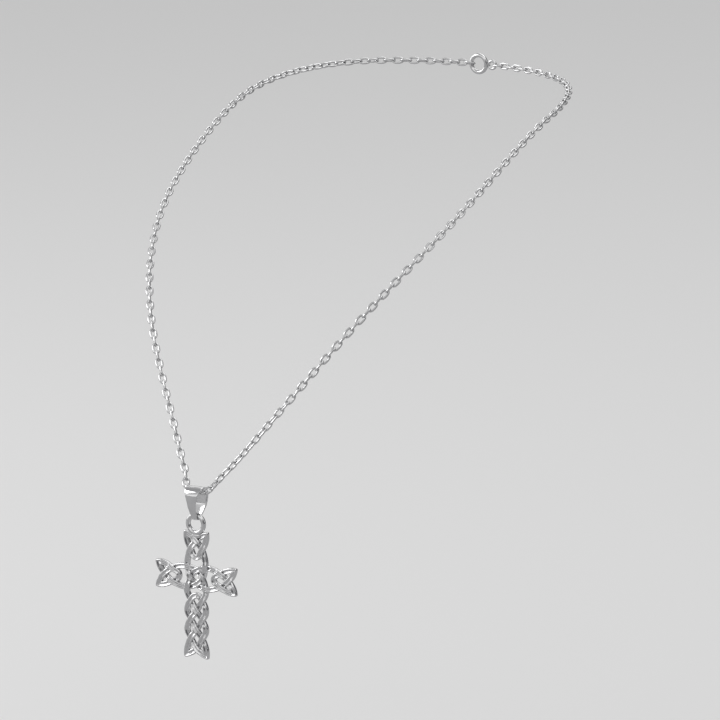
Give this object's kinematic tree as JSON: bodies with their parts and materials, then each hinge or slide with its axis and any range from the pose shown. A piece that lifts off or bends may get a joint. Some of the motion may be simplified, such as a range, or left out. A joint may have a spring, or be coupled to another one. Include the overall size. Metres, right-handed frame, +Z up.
{
  "type": "celtic cross pendant necklace",
  "caption": "Fine cable chain necklace with a folded bail and a pierced knotwork cross pendant, its ring soldered on top.",
  "frame": {"origin": "middle of the clasp, where the chain lies on the nape of the neck", "axes": "+Z up, the wearer's front towards -Y, the wearer's left towards +X; the pendant hangs in the plane X = 0"},
  "size_m": [0.0986, 0.1536, 0.1444],
  "materials": {
    "silver": "polished, with darker recesses"
  },
  "bodies": {
    "root": {"chain": "silver", "clasp": "silver"},
    "bail_body": {"bail": "silver"},
    "cross_body": {"cross": "silver"}
  },
  "joints": [
    {"name": "bail_swing", "type": "hinge", "parent": "root", "child": "bail_body", "pos_m": [0, -0.15, -0.096], "axis": [1, 0, 0], "range_deg": [-90, 90]},
    {"name": "cross_swing", "type": "hinge", "parent": "bail_body", "child": "cross_body", "pos_m": [0, -0.15, -0.10455], "axis": [0, 1, 0], "range_deg": [-60, 60]}
  ]
}
